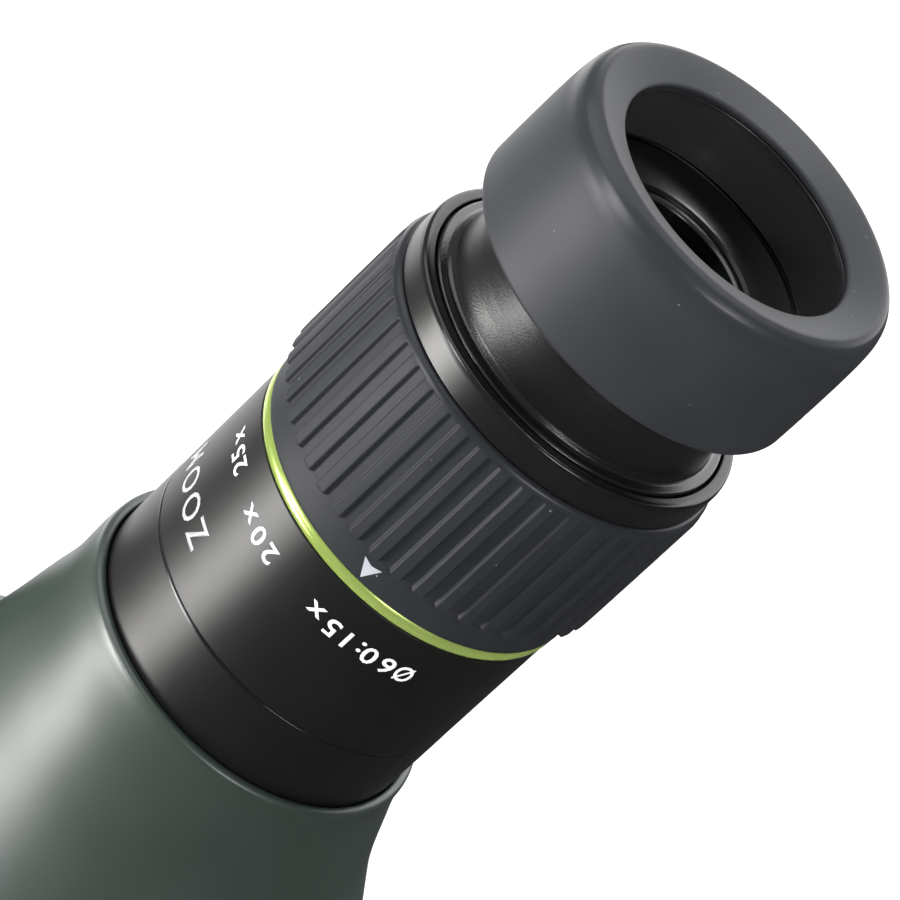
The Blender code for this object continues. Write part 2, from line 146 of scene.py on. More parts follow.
def finish_of(name, base, dark, light, rough, rough_var=0.06, metallic=0.0, spec=0.5, grain=5000.0, bump=0.15,
              bump_mm=0.02, speck=0.0, speck_rgb=(0.5, 0.5, 0.5), coat=0.0, coat_rough=0.1, wear=0.0,
              sheen=0.0):
    """One family of surfaces: mottled colour, uneven gloss, a fine grain, and light specks."""
    m, nt, b = shader(name)
    co = nt.nodes.new("ShaderNodeTexCoord").outputs["Object"]
    broad = noise(nt, co, 60.0, 3.0, 0.55)
    fine = noise(nt, co, grain, 2.0, 0.6)
    col = blend_rgb(nt, span(nt, broad, 0.3, 0.7, 0.0, 1.0), dark, light)
    col = blend_rgb(nt, span(nt, fine, 0.35, 0.75, 0.0, 0.5), col, base)
    if speck > 0.0:
        vo = nt.nodes.new("ShaderNodeTexVoronoi")
        vo.inputs["Scale"].default_value = 420.0
        nt.links.new(co, vo.inputs["Vector"])
        near = span(nt, vo.outputs["Distance"], 0.02, 0.06, 1.0, 0.0)
        sep = nt.nodes.new("ShaderNodeSeparateColor")
        nt.links.new(vo.outputs["Color"], sep.inputs[0])
        rare = math_node(nt, "GREATER_THAN", sep.outputs[0], 0.72)
        col = blend_rgb(nt, math_node(nt, "MULTIPLY", math_node(nt, "MULTIPLY", near, rare), speck), col, speck_rgb)
    if wear > 0.0:
        geo = nt.nodes.new("ShaderNodeNewGeometry")
        edge = span(nt, geo.outputs["Pointiness"], 0.53, 0.62, 0.0, wear)
        col = blend_rgb(nt, edge, col, speck_rgb)
    nt.links.new(col, b.inputs["Base Color"])
    nt.links.new(span(nt, broad, 0.3, 0.7, rough - rough_var, rough + rough_var), b.inputs["Roughness"])
    b.inputs["Metallic"].default_value = metallic
    b.inputs["Specular IOR Level"].default_value = spec
    if coat:
        b.inputs["Coat Weight"].default_value = coat
        b.inputs["Coat Roughness"].default_value = coat_rough
    if sheen:
        b.inputs["Sheen Weight"].default_value = sheen
        b.inputs["Sheen Roughness"].default_value = 0.5
    if bump:
        bu = nt.nodes.new("ShaderNodeBump")
        bu.inputs["Strength"].default_value = bump
        bu.inputs["Distance"].default_value = bump_mm * MM
        nt.links.new(fine, bu.inputs["Height"])
        nt.links.new(bu.outputs["Normal"], b.inputs["Normal"])
    return m


M_CUP = finish_of("eyecup_rubber", (0.0183, 0.0197, 0.0230), (0.0162, 0.0176, 0.0208), (0.0205, 0.0218, 0.0252), 0.52,
                  rough_var=0.025, grain=6500, bump=0.10, bump_mm=0.012, speck=0.50, speck_rgb=(0.22, 0.25, 0.27), spec=0.22)


def burnish(m, r0, r1, a0, a1, rough, a2=None):
    """A surface is rubbed smoother over a band round the eyepiece, all the way round."""
    nt = m.node_tree
    b = nt.nodes["Principled BSDF"]
    old = b.inputs["Roughness"].links[0].from_socket
    co = nt.nodes.new("ShaderNodeTexCoord").outputs["Object"]
    rel = nt.nodes.new("ShaderNodeVectorMath")
    rel.operation = "SUBTRACT"
    nt.links.new(co, rel.inputs[0])
    rel.inputs[1].default_value = OPEN
    dot = nt.nodes.new("ShaderNodeVectorMath")
    dot.operation = "DOT_PRODUCT"
    nt.links.new(rel.outputs["Vector"], dot.inputs[0])
    dot.inputs[1].default_value = D
    ln = nt.nodes.new("ShaderNodeVectorMath")
    ln.operation = "LENGTH"
    nt.links.new(rel.outputs["Vector"], ln.inputs[0])
    a = dot.outputs["Value"]
    sq = math_node(nt, "SUBTRACT", math_node(nt, "POWER", ln.outputs["Value"], 2.0), math_node(nt, "POWER", a, 2.0))
    r = math_node(nt, "SQRT", math_node(nt, "MAXIMUM", sq, 0.0))
    on = math_node(nt, "MULTIPLY", span(nt, r, r0 * MM, r1 * MM, 0.0, 1.0), span(nt, a, a0 * MM, a1 * MM, 0.0, 1.0))
    if a2 is not None:
        on = math_node(nt, "MULTIPLY", on, span(nt, a, (a2 - 0.03) * MM, a2 * MM, 1.0, 0.0))
    mix = nt.nodes.new("ShaderNodeMix")
    mix.data_type = "FLOAT"
    nt.links.new(on, mix.inputs[0])
    nt.links.new(old, mix.inputs[2])
    mix.inputs[3].default_value = rough
    nt.links.new(mix.outputs[0], b.inputs["Roughness"])


burnish(M_CUP, 20.9, 21.6, -2.6, -0.7, 0.31)
M_GRIP = finish_of("grip_rubber", (0.0144, 0.0156, 0.0187), (0.0128, 0.0140, 0.0170), (0.0161, 0.0173, 0.0204), 0.56,
                   rough_var=0.03, grain=7000, bump=0.14, bump_mm=0.012, speck=0.60, speck_rgb=(0.30, 0.32, 0.34), spec=0.18)
M_ARMOUR = finish_of("armour_rubber", (0.0190, 0.0283, 0.0230), (0.0173, 0.0260, 0.0210), (0.0207, 0.0306, 0.0250), 0.45,
                     rough_var=0.02, grain=8000, bump=0.09, bump_mm=0.010, spec=0.54)
burnish(M_GRIP, 22.9, 23.1, -32.4, -32.0, 0.30)
burnish(M_ARMOUR, 22.0, 23.0, -91.3, -90.6, 0.36)
M_PAINT = finish_of("green_paint", (0.0150, 0.0235, 0.0185), (0.0140, 0.0220, 0.0172), (0.0162, 0.0252, 0.0198), 0.38,
                    rough_var=0.02, grain=9000, bump=0.10, bump_mm=0.008, spec=0.45)
M_ANOD = finish_of("black_anodised", (0.0052, 0.0052, 0.0050), (0.0044, 0.0044, 0.0043), (0.0060, 0.0060, 0.0057), 0.32,
                   rough_var=0.02, grain=5200, bump=0.45, bump_mm=0.018, spec=0.30)
M_NECK = finish_of("black_neck", (0.0052, 0.0052, 0.0050), (0.0044, 0.0044, 0.0043), (0.0060, 0.0060, 0.0057), 0.32,
                   rough_var=0.02, grain=4200, bump=0.75, bump_mm=0.030, spec=0.40)
M_CELL = finish_of("cell_black", (0.0042, 0.0042, 0.0042), (0.0036, 0.0036, 0.0036), (0.0048, 0.0048, 0.0048), 0.24,
                   rough_var=0.02, grain=2500, bump=0.05, bump_mm=0.006, spec=0.20)
M_BARREL = finish_of("black_barrel", (0.0048, 0.0048, 0.0046), (0.0042, 0.0042, 0.0041), (0.0054, 0.0054, 0.0052), 0.40,
                     rough_var=0.02, grain=9000, bump=0.16, bump_mm=0.010, spec=0.30)
burnish(M_ANOD, 22.1, 22.4, -27.95, -27.75, 0.15)
burnish(M_NECK, 19.2, 19.6, -28.0, -27.7, 0.17)
burnish(M_BARREL, 22.0, 22.4, -79.5, -79.32, 0.15, -78.99)
M_GLOSS = finish_of("black_gloss", (0.0048, 0.0048, 0.0046), (0.0042, 0.0042, 0.0040), (0.0056, 0.0056, 0.0053), 0.16,
                    rough_var=0.02, grain=2500, bump=0.05, bump_mm=0.008)
M_WALL = finish_of("cup_wall", (0.0240, 0.0240, 0.0255), (0.0215, 0.0215, 0.0230), (0.0265, 0.0265, 0.0282), 0.26,
                   rough_var=0.02, grain=3000, bump=0.05, bump_mm=0.008, spec=0.45)
M_LIME = finish_of("lime_anodised", (0.31, 0.41, 0.100), (0.285, 0.385, 0.088), (0.345, 0.445, 0.120), 0.25,
                   metallic=0.55, grain=8000, bump=0.10, bump_mm=0.008, rough_var=0.03)
M_MATT = finish_of("black_matt", (0.0080, 0.0080, 0.0080), (0.0070, 0.0070, 0.0070), (0.0095, 0.0095, 0.0095), 0.80,
                   grain=4000, bump=0.25, bump_mm=0.02, spec=0.2)
M_ALU = finish_of("machined_aluminium", (0.56, 0.57, 0.58), (0.50, 0.51, 0.52), (0.60, 0.61, 0.62), 0.34,
                  metallic=1.0, grain=5000, bump=0.10, bump_mm=0.01, rough_var=0.05)
M_STEEL = finish_of("machined_steel", (0.44, 0.44, 0.45), (0.38, 0.38, 0.39), (0.50, 0.50, 0.50), 0.28,
                    metallic=1.0, grain=6000, bump=0.10, bump_mm=0.01, rough_var=0.06)
M_BRASS = finish_of("machined_brass", (0.60, 0.43, 0.17), (0.52, 0.36, 0.13), (0.66, 0.48, 0.20), 0.32,
                    metallic=1.0, grain=5000, bump=0.10, bump_mm=0.01, rough_var=0.06)
M_DARKBRASS = finish_of("blackened_brass", (0.011, 0.010, 0.009), (0.009, 0.008, 0.007), (0.014, 0.012, 0.010), 0.45,
                        metallic=0.6, grain=5000, bump=0.10, bump_mm=0.01, rough_var=0.05)
M_NYLON = finish_of("nylon", (0.30, 0.30, 0.28), (0.27, 0.27, 0.25), (0.33, 0.33, 0.31), 0.5, grain=3000, bump=0.1)
M_WHITE = finish_of("white_print", (0.62, 0.63, 0.64), (0.56, 0.57, 0.58), (0.68, 0.69, 0.70), 0.5, grain=6000,
                    bump=0.1, bump_mm=0.005)
M_GREYP = finish_of("grey_print", (0.285, 0.290, 0.325), (0.255, 0.260, 0.295), (0.315, 0.320, 0.355), 0.5, grain=6000,
                    bump=0.1, bump_mm=0.005)
M_SILVER = finish_of("silver_print", (0.34, 0.35, 0.36), (0.28, 0.29, 0.30), (0.40, 0.41, 0.42), 0.42, grain=6000,
                     metallic=0.3, bump=0.1, bump_mm=0.005)


def glass(name, tint, rough=0.02, coat_tint=(0.5, 0.9, 0.6)):
    m, nt, b = shader(name)
    co = nt.nodes.new("ShaderNodeTexCoord").outputs["Object"]
    f = noise(nt, co, 90.0, 2.0)
    nt.links.new(blend_rgb(nt, span(nt, f, 0.3, 0.7, 0.0, 1.0), tint, tuple(c * 0.97 for c in tint)),
                 b.inputs["Base Color"])
    nt.links.new(span(nt, f, 0.3, 0.7, rough, rough + 0.02), b.inputs["Roughness"])
    b.inputs["Transmission Weight"].default_value = 1.0
    b.inputs["IOR"].default_value = 1.52
    b.inputs["Specular Tint"].default_value = (*coat_tint, 1.0)
    b.inputs["Coat Weight"].default_value = 0.3
    b.inputs["Coat Roughness"].default_value = 0.02
    b.inputs["Coat Tint"].default_value = (*coat_tint, 1.0)
    return m


M_GLASS = glass("coated_glass", (0.92, 0.97, 0.95))
M_OBJ = glass("objective_glass", (0.80, 0.92, 0.86), coat_tint=(0.55, 1.0, 0.70))

PLAIN = {
    "rubber_grey": M_GRIP, "armour_green": M_ARMOUR, "green_paint": M_PAINT, "black_satin": M_ANOD,
    "black_gloss": M_GLOSS, "lime_anodised": M_LIME, "black_matt": M_MATT, "aluminium": M_ALU, "steel": M_STEEL,
    "brass": M_BRASS, "glass": M_GLASS, "nylon": M_NYLON,
}
SLOT = {p["node"]: p["material_slot"] for p in frame["record"]["subparts"]}
for label, ob in NODES.items():
    ob.data.materials.clear()
    ob.data.materials.append(PLAIN[SLOT[label]])


# ------------------------------------------------------------------ shapes
def body_of_node(label):
    for body, held in frame["record"]["behaviour"]["bodies"].items():
        if label in held:
            return body
    raise KeyError(label)


def piece(name, verts, faces, mat, body, replaces=(), sharp=32.0, normals=True):
    me = bpy.data.meshes.new(name)
    me.from_pydata(verts, [], faces)
    if normals:
        bm = bmesh.new()
        bm.from_mesh(me)
        bmesh.ops.recalc_face_normals(bm, faces=bm.faces)
        bm.to_mesh(me)
        bm.free()
    me.shade_smooth()
    me.set_sharp_from_angle(angle=math.radians(sharp))
    me.materials.append(mat)
    ob = bpy.data.objects.new(name, me)
    bpy.context.scene.collection.objects.link(ob)
    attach(ob, body)
    if replaces:
        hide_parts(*replaces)
    return ob


def rounded(points, steps=5, support=0.12, closed=True):
    """Corners (r, a, fillet) in mm become arcs; long straight runs get a loop close to each end."""
    n = len(points)
    out = []
    for i, p in enumerate(points):
        r, a = p[0], p[1]
        f = p[2] if len(p) > 2 else 0.0
        if f <= 0 or (not closed and i in (0, n - 1)):
            out.append((r, a))
            continue
        A, B = points[i - 1], points[(i + 1) % n]
        va, vb = Vector((A[0] - r, A[1] - a)), Vector((B[0] - r, B[1] - a))
        la, lb = va.length, vb.length
        va, vb = va / la, vb / lb
        ang = math.acos(max(-1.0, min(1.0, va.dot(vb))))
        t = min(f / max(math.tan(ang / 2), 1e-3), 0.48 * la, 0.48 * lb)
        w = math.sin(ang / 2)
        P, Q, C = Vector((r, a)) + va * t, Vector((r, a)) + vb * t, Vector((r, a))
        for k in range(steps + 1):
            u = k / steps
            den = (1 - u) ** 2 + 2 * u * (1 - u) * w + u * u
            q = (P * (1 - u) ** 2 + C * (2 * u * (1 - u) * w) + Q * u * u) / den
            out.append((q.x, q.y))
    if not support:
        return out
    res = []
    m = len(out)
    last = m if closed else m - 1
    for i in range(last):
        p, q = Vector(out[i]), Vector(out[(i + 1) % m])
        res.append(tuple(p))
        L = (q - p).length
        if L > 5 * support:
            u = (q - p) / L
            res.append(tuple(p + u * support))
            res.append(tuple(q - u * support))
    if not closed:
        res.append(out[-1])
    return res


def turned(name, axis, profile, mat, body, seg=160, replaces=(), radius=None, sharp=32.0, phase=0.0):
    """A closed profile turned into a ring, or a profile from axis to axis turned into a solid.
    radius(r, phi, a), if given, changes a point's radius."""
    solid = profile[0][0] < 1e-6
    verts, faces = [], []
    rows = []
    for r, a in profile:
        if r < 1e-6:
            rows.append([len(verts)])
            verts.append(axis.at(0, 0, a))
            continue
        row = []
        for k in range(seg):
            phi = phase + 2 * math.pi * k / seg
            rr = radius(r, phi, a) if radius else r
            row.append(len(verts))
            verts.append(axis.at(rr, phi, a))
        rows.append(row)
    pairs = list(zip(rows, rows[1:])) + ([] if solid else [(rows[-1], rows[0])])
    for A, B in pairs:
        for k in range(seg):
            j = (k + 1) % seg
            if len(A) == 1 and len(B) == 1:
                continue
            if len(A) == 1:
                faces.append((A[0], B[k], B[j]))
            elif len(B) == 1:
                faces.append((A[k], B[0], A[j]))
            else:
                faces.append((A[k], B[k], B[j], A[j]))
    return piece(name, verts, faces, mat, body, replaces, sharp)


def lerp_table(rows):
    def f(x):
        if x >= rows[0][0]:
            return rows[0][1]
        for (x0, y0), (x1, y1) in zip(rows, rows[1:]):
            if x >= x1:
                return y0 + (y1 - y0) * (x0 - x) / (x0 - x1)
        return rows[-1][1]
    return f


def smooth(x, a, b):
    t = max(0.0, min(1.0, (x - a) / (b - a)))
    return t * t * (3 - 2 * t)


def flow(points, n=6):
    """A smooth open curve through the points, with n steps between neighbours."""
    out = []
    m = len(points)
    for i in range(m - 1):
        p = [points[max(i - 1, 0)], points[i], points[i + 1], points[min(i + 2, m - 1)]]
        for k in range(n):
            u = k / n
            out.append(tuple(0.5 * (2 * b + (c - a) * u + (2 * a - 5 * b + 4 * c - d) * u * u
                                    + (3 * b - a - 3 * c + d) * u ** 3) for a, b, c, d in zip(*p)))
    out.append(points[-1])
    return out


def arc(cr, ca, rho, a0, a1, n):
    """Points on an arc about (cr, ca); angles in degrees from the outward radius toward the axis direction."""
    return [(cr + rho * math.cos(math.radians(a0 + (a1 - a0) * k / n)),
             ca + rho * math.sin(math.radians(a0 + (a1 - a0) * k / n))) for k in range(n + 1)]


def baked(ob, name):
    """The object's mesh with its modifiers applied, as a new mesh."""
    bpy.context.view_layer.update()
    me = bpy.data.meshes.new_from_object(ob.evaluated_get(bpy.context.evaluated_depsgraph_get()))
    me.name = name
    return me


def turned_mesh(axis, profile, seg):
    """A closed body of revolution from axis to axis, as a mesh for cutting and joining."""
    verts, faces, rows = [], [], []
    for r, a in profile:
        if r < 1e-6:
            rows.append([len(verts)])
            verts.append(axis.at(0, 0, a))
        else:
            rows.append(list(range(len(verts), len(verts) + seg)))
            verts += [axis.at(r, 2 * math.pi * k / seg, a) for k in range(seg)]
    for A, B in zip(rows, rows[1:]):
        for k in range(seg):
            j = (k + 1) % seg
            if len(A) == 1:
                faces.append((A[0], B[k], B[j]))
            elif len(B) == 1:
                faces.append((A[k], B[0], A[j]))
            else:
                faces.append((A[k], B[k], B[j], A[j]))
    return closed_mesh(verts, faces)


def ring_mesh(axis, profile, seg):
    verts = [axis.at(r, 2 * math.pi * k / seg, a) for r, a in profile for k in range(seg)]
    n = len(profile)
    faces = []
    for i in range(n):
        j = (i + 1) % n
        for k in range(seg):
            m = (k + 1) % seg
            faces.append((i * seg + k, j * seg + k, j * seg + m, i * seg + m))
    return closed_mesh(verts, faces)


def closed_mesh(verts, faces):
    me = bpy.data.meshes.new("work")
    me.from_pydata(verts, [], faces)
    bm = bmesh.new()
    bm.from_mesh(me)
    bmesh.ops.recalc_face_normals(bm, faces=bm.faces)
    bm.to_mesh(me)
    bm.free()
    return me


def prism_mesh(outline, lo, hi, place, edge=0.6, steps=4):
    """A flat outline pushed from lo to hi with rounded end edges; place(u, v, w) gives the point in mm from the bend."""
    n = len(outline)
    cu = sum(p[0] for p in outline) / n
    cv = sum(p[1] for p in outline) / n

    def inset(d):
        out = []
        for i in range(n):
            a, b, c = Vector(outline[i - 1]), Vector(outline[i]), Vector(outline[(i + 1) % n])
            t1, t2 = (b - a).normalized(), (c - b).normalized()
            t = (t1 + t2).normalized()
            nrm = Vector((-t.y, t.x))
            if nrm.dot(Vector((cu, cv)) - b) < 0:
                nrm = -nrm
            out.append(b + nrm * d)
        return out

    loops = []
    for k in range(steps + 1):
        w = k / steps * math.pi / 2
        loops.append((edge * (1 - math.sin(w)), lo + edge * (1 - math.cos(w))))
    for k in range(steps + 1):
        w = k / steps * math.pi / 2
        loops.append((edge * (1 - math.cos(w)), hi - edge * (1 - math.sin(w))))
    verts, faces = [], []
    for d, w in loops:
        verts += [BEND + Vector(place(p.x, p.y, w)) * MM for p in inset(d)]
    for i in range(len(loops) - 1):
        for k in range(n):
            m = (k + 1) % n
            faces.append((i * n + k, i * n + m, (i + 1) * n + m, (i + 1) * n + k))
    faces.append(tuple(reversed(range(n))))
    faces.append(tuple(range((len(loops) - 1) * n, len(loops) * n)))
    return closed_mesh(verts, faces)


def round_rect(x0, y0, x1, y1, r, steps=8):
    pts = []
    for cx_, cy_, a0 in ((x1 - r, y1 - r, 0), (x0 + r, y1 - r, 90), (x0 + r, y0 + r, 180), (x1 - r, y0 + r, 270)):
        for k in range(steps + 1):
            a = math.radians(a0 + 90 * k / steps)
            pts.append((cx_ + r * math.cos(a), cy_ + r * math.sin(a)))
    return pts


def carved(name, base, joins, cuts, mat, body, replaces, sharp=35.0):
    """Joins and cuts closed meshes into one body."""
    ob = bpy.data.objects.new(name + "_base", base)
    bpy.context.scene.collection.objects.link(ob)
    tools = []
    for how, group in (("UNION", joins), ("DIFFERENCE", cuts)):
        for me in group:
            t = bpy.data.objects.new(name + "_tool", me)
            bpy.context.scene.collection.objects.link(t)
            tools.append(t)
            m = ob.modifiers.new("cut", "BOOLEAN")
            m.operation = how
            m.object = t
            m.solver = "EXACT"
    me = baked(ob, name)
    for t in tools + [ob]:
        old = t.data
        bpy.data.objects.remove(t, do_unlink=True)
        bpy.data.meshes.remove(old)
    me.shade_smooth()
    me.set_sharp_from_angle(angle=math.radians(sharp))
    me.materials.clear()
    me.materials.append(mat)
    out = bpy.data.objects.new(name, me)
    bpy.context.scene.collection.objects.link(out)
    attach(out, body)
    if replaces:
        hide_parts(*replaces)
    return out


# ------------------------------------------------------------------ eyecup
cup = (flow([(16.2, -0.4), (16.22, -0.1), (16.3, 0.12), (16.55, 0.31), (17.0, 0.49), (17.8, 0.80), (18.8, 1.17), (19.6, 1.45),
             (20.1, 1.61), (20.33, 1.67), (20.55, 1.70), (20.78, 1.68), (21.0, 1.57), (21.3, 1.40), (21.6, 1.19), (21.95, 0.80),
             (22.25, 0.32), (22.5, -0.5), (22.65, -1.4), (22.8, -3.2), (22.9, -5.6), (22.96, -8.5), (23.0, -12.5), (23.0, -16.3)], 5)
       + arc(22.1, -16.5, 0.9, 0, -90, 8)
       + [(21.2, -17.4), (20.5, -17.4), (20.35, -17.3), (20.3, -17.15), (20.3, -10.0), (20.3, -0.75), (20.25, -0.5), (20.1, -0.42),
          (18.0, -0.42), (16.4, -0.42)])
turned("eyecup_sleeve", EYE, cup, M_CUP, "eyecup", 256, ["eyecup_rubber"])
core = [(16.32, -0.72, 0.15), (20.0, -0.72, 0.1), (20.0, -16.8, 0.2), (19.35, -16.8, 0.2), (19.35, -9.75, 0.3), (16.98, -9.12, 0.12),
        (16.9, -5.0, 0), (16.84, -2.2, 0), (16.66, -1.4, 0.3)]
turned("eyecup_liner", EYE, rounded(core), M_WALL, "eyecup", 224, ["eyecup_core"])
turned("eyecup_follower", EYE, rounded([(19.05, -9.95, 0.2), (19.05, -11.9, 0.2), (18.05, -11.9, 0.2), (18.05, -9.95, 0.2)]),
       M_DARKBRASS, "eyecup_slide", 96, ["eyecup_guide_ring"])

# ------------------------------------------------------------------ eye lens, its cell and the neck
cell = [(11.35, -10.96, 0.30), (11.9, -10.78, 0), (14.2, -10.06, 0), (16.48, -9.34, 0.14), (16.48, -10.6, 0.1), (14.4, -10.6, 0.1),
        (14.4, -22.0, 0.2), (12.4, -22.0, 0.2), (12.4, -17.6, 0.1), (10.6, -17.6, 0.1), (10.6, -12.15, 0.1), (11.02, -12.15, 0.05),
        (11.02, -11.35, 0.15)]
turned("eye_lens_seat", EYE, rounded(cell), M_CELL, "scope_body", 192, ["eye_lens_cell"])
turned("eye_lens_ring", EYE, rounded([(10.86, -11.38, 0.14), (10.86, -11.9, 0.08), (9.8, -11.9, 0.08), (9.95, -11.6, 0.12),
                                      (10.3, -11.38, 0.12)]),
       M_GLOSS, "scope_body", 192, ["eye_lens_retainer"])


def lens_profile(r, a_front, sag_front, a_back, sag_back, n=14):
    """Front pole, front face out to the rim, the edge, and the back face in to its pole. Sags are positive when convex."""
    pts = []
    for k in range(n + 1):
        q = k / n
        pts.append((r * q, a_front - sag_front * q * q))
    for k in range(n, -1, -1):
        q = k / n
        pts.append((r * q, a_back + sag_back * q * q))
    return pts


turned("eye_lens_glass", EYE, lens_profile(10.3, -12.6, 1.0, -17.3, 1.5), M_GLASS, "scope_body", 128, ["eye_lens"],
       sharp=50)
neck = [(15.0, -10.9, 0.1), (16.55, -10.9, 0.25), (16.55, -16.2, 0), (16.72, -16.9, 0), (17.2, -18.0, 0), (17.76, -19.4, 0),
        (18.24, -20.9, 0), (18.62, -22.4, 0), (18.92, -23.9, 0), (19.14, -25.3, 0), (19.3, -26.2, 0), (19.6, -26.8, 0),
        (20.05, -27.04, 0), (21.15, -27.10, 0.34), (21.15, -30.2, 0.1), (14.7, -30.2, 0.1), (14.7, -10.9, 0.1)]
turned("neck_tube", EYE, rounded(neck, steps=4), M_NECK, "scope_body", 224, ["neck"], sharp=40)

# ------------------------------------------------------------------ zoom ring
cap = [(21.45, -27.28, 0.22), (22.95, -27.28, 0.46), (23.1, -28.1, 0), (23.1, -30.1, 0), (23.1, -31.1, 0.12), (21.45, -31.1, 0.1)]
turned("zoom_cap", EYE, rounded(cap), M_ANOD, "zoom_drive", 224, ["zoom_cap_ring"])

RIBS = 45
RIB_FRONT, RIB_BACK = -32.22, -52.65
BAND, VALLEY = 22.96, 23.52
top_of = lerp_table([(-31.3, 23.12), (-31.42, 23.38), (-31.6, 23.56), (-31.85, 23.70), (-32.2, 23.83), (-32.6, 23.93), (-33.2, 24.0),
                     (-42.0, 24.1), (-51.0, 24.17), (-52.2, 24.15), (-52.5, 24.08), (-57.1, 24.0)])


def rib_radius(r, phi, a):
    if r < BAND - 0.02:
        return r
    top = top_of(a)
    deg = math.degrees(phi)
    off = abs((deg - 2.0 + 4.0) % 8.0 - 4.0)           # degrees from the nearest rib's middle
    rib = 1.0 - smooth(off, 1.62, 2.42)
    front = smooth(-a, -RIB_FRONT - 0.10, -RIB_FRONT + 0.22)
    shift = 0.28 * (off / 2.2) ** 2 * (1.0 if off < 2.2 else 0.0) if off < 2.2 else 0.28     # rounded rib ends
    back = 1.0 - smooth(-a + shift * 0.6, -RIB_BACK - 0.12, -RIB_BACK + 0.12)
    valley = top + (min(VALLEY, top) - top) * front
    h = valley + (top - valley) * rib
    return BAND + (h - BAND) * back


grip_a = [-31.3, -31.42, -31.52, -31.6, -31.72, -31.85, -31.98, -32.08, -32.14, -32.2, -32.26, -32.32, -32.38, -32.46, -32.6, -32.8,
          -33.1, -33.4, -34.5, -37, -42, -47, -51, -51.9, -52.2, -52.3, -52.38, -52.44, -52.5, -52.55, -52.6, -52.65, -52.7, -52.76,
          -52.84, -52.95, -53.2, -54.5, -56.0, -56.5]
grip = [(BAND, a) for a in grip_a] + [(22.92, -56.72), (22.84, -56.88), (22.72, -56.98), (22.6, -57.0), (22.6, -31.45), (22.7, -31.33),
                                      (22.85, -31.28)]
turned("zoom_grip_ribbed", EYE, grip, M_GRIP, "zoom_drive", RIBS * 24, ["zoom_grip"], radius=rib_radius, sharp=75)
crown = [(22.9 - 0.26 * (abs(u) / 8.0) ** 2.2, -57.89 - 0.79 * u / 8.0) for u in range(-8, 9)]
turned("accent_band", EYE, [(20.95, -58.64), (20.95, -57.14), (21.0, -57.1)] + crown + [(21.0, -58.68)],
       M_LIME, "zoom_drive", 256, ["accent_ring"])

# ------------------------------------------------------------------ fixed barrel with the scale
sleeve = [(20.6, -42.0, 0.2), (20.6, -58.8, 0.05), (22.78, -58.8, 0.12), (22.80, -64.0, 0), (22.84, -72.0, 0),
          (22.88, -78.97, 0.11), (18.9, -78.97, 0.1), (18.9, -59.2, 0.1), (19.3, -58.85, 0.1), (19.3, -42.0, 0.1)]
turned("scale_barrel", EYE, rounded(sleeve), M_BARREL, "scope_body", 224, ["scale_sleeve"])
lock = [(22.90, -79.03, 0.24), (22.93, -84.0, 0), (22.95, -92.9, 0.2), (20.0, -92.9, 0.1), (20.0, -84.3, 0.1), (17.0, -84.3, 0.1),
        (17.0, -79.03, 0.1)]
turned("lock_barrel", EYE, rounded(lock), M_BARREL, "scope_body", 224, ["lock_ring"])


# ------------------------------------------------------------------ printed marks
def text_mesh(words, size, weight=0.045):
    cu = bpy.data.curves.new("words", "FONT")
    cu.body = words
    cu.size = size
    cu.offset = weight
    cu.resolution_u = 3
    cu.align_x = "CENTER"
    cu.fill_mode = "FRONT"
    tmp = bpy.data.objects.new("words", cu)
    bpy.context.scene.collection.objects.link(tmp)
    bpy.context.view_layer.update()
    me = bpy.data.meshes.new_from_object(tmp.evaluated_get(bpy.context.evaluated_depsgraph_get()))
    bpy.data.objects.remove(tmp, do_unlink=True)
    bpy.data.curves.remove(cu)
    return me


def wrap_print(name, me, axis, r, phi_deg, a0, mat, body, lift=0.015, depth=0.03, flip=-1.0, width=1.0, step=0.35):
    """Flat artwork in mm (x round the axis, y along it) becomes a thin raised print on a cylinder."""
    bm = bmesh.new()
    bm.from_mesh(me)
    bpy.data.meshes.remove(me)
    bmesh.ops.remove_doubles(bm, verts=bm.verts, dist=1e-5)
    xs = [v.co.x for v in bm.verts]
    x = math.floor(min(xs) / step) * step
    while x < max(xs):
        bmesh.ops.bisect_plane(bm, geom=bm.verts[:] + bm.edges[:] + bm.faces[:], plane_co=(x, 0, 0), plane_no=(1, 0, 0),
                               dist=1e-5)
        x += step
    bmesh.ops.triangulate(bm, faces=bm.faces)
    top = bmesh.ops.extrude_face_region(bm, geom=bm.faces[:])
    for g in top["geom"]:
        if isinstance(g, bmesh.types.BMVert):
            g.co.z += depth
    for v in bm.verts:
        phi = math.radians(phi_deg) + v.co.x * width / r
        v.co = axis.at(r + lift - depth * 0.5 + v.co.z, phi, a0 + flip * v.co.y)
    bmesh.ops.recalc_face_normals(bm, faces=bm.faces)
    out = bpy.data.meshes.new(name)
    bm.to_mesh(out)
    bm.free()
    out.materials.append(mat)
    ob = bpy.data.objects.new(name, out)
    bpy.context.scene.collection.objects.link(ob)
    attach(ob, body)
    return ob


def glyph_row(glyphs, r, phi0, size, wide=1.0):
    """Flat artwork of single letters, each centred at its own angle about the axis."""
    bm = bmesh.new()
    for ch, phi in glyphs:
        me = text_mesh(ch, size)
        xs = [v.co.x for v in me.vertices]
        mid = (min(xs) + max(xs)) / 2
        for v in me.vertices:
            v.co.x = (v.co.x - mid) * wide * (0.74 if ch == "\u00d8" else 1.0) + math.radians(phi - phi0) * r
        bm.from_mesh(me)
        bpy.data.meshes.remove(me)
    out = bpy.data.meshes.new("row")
    bm.to_mesh(out)
    bm.free()
    return out


